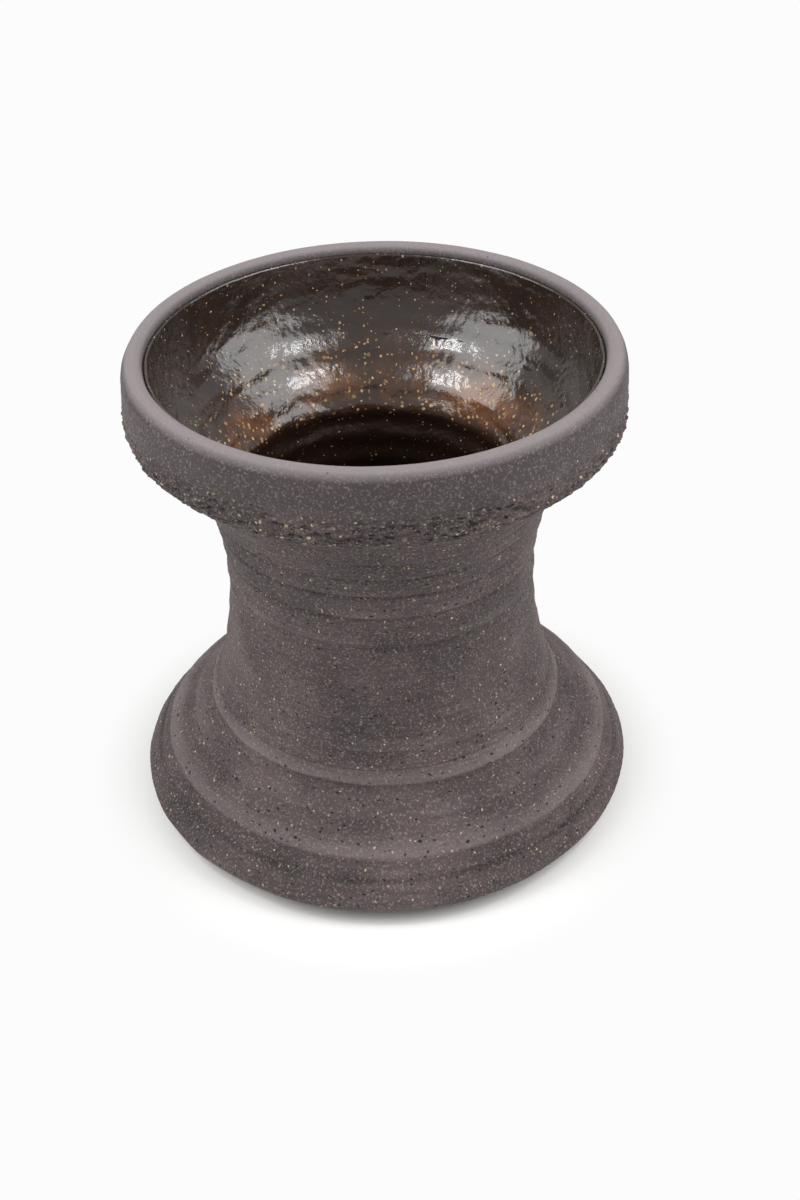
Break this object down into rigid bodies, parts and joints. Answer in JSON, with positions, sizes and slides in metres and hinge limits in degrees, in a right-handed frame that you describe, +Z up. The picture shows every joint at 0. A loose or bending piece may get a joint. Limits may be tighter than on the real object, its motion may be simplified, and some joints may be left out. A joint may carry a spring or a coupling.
{
  "type": "ceramic vase",
  "caption": "Dark stoneware vase with a flared foot, a narrow ringed neck and a heavy collar round a glossy brown glazed bowl.",
  "frame": {"origin": "middle of the face that the vase stands on", "axes": "+Z up along the turning axis, from the foot to the lip"},
  "size_m": [0.1438, 0.1438, 0.1407],
  "materials": {
    "stoneware": "matte",
    "slip": "matte",
    "glaze": "gloss"
  },
  "bodies": {
    "root": {"foot_bell": "stoneware", "floor_disc": "stoneware", "floor_slip_seam": "slip", "foot_slip_seam": "slip", "waist_neck": "stoneware", "collar_slip_seam": "slip", "rim_collar": "stoneware", "glaze_lining": "glaze"}
  },
  "joints": []
}
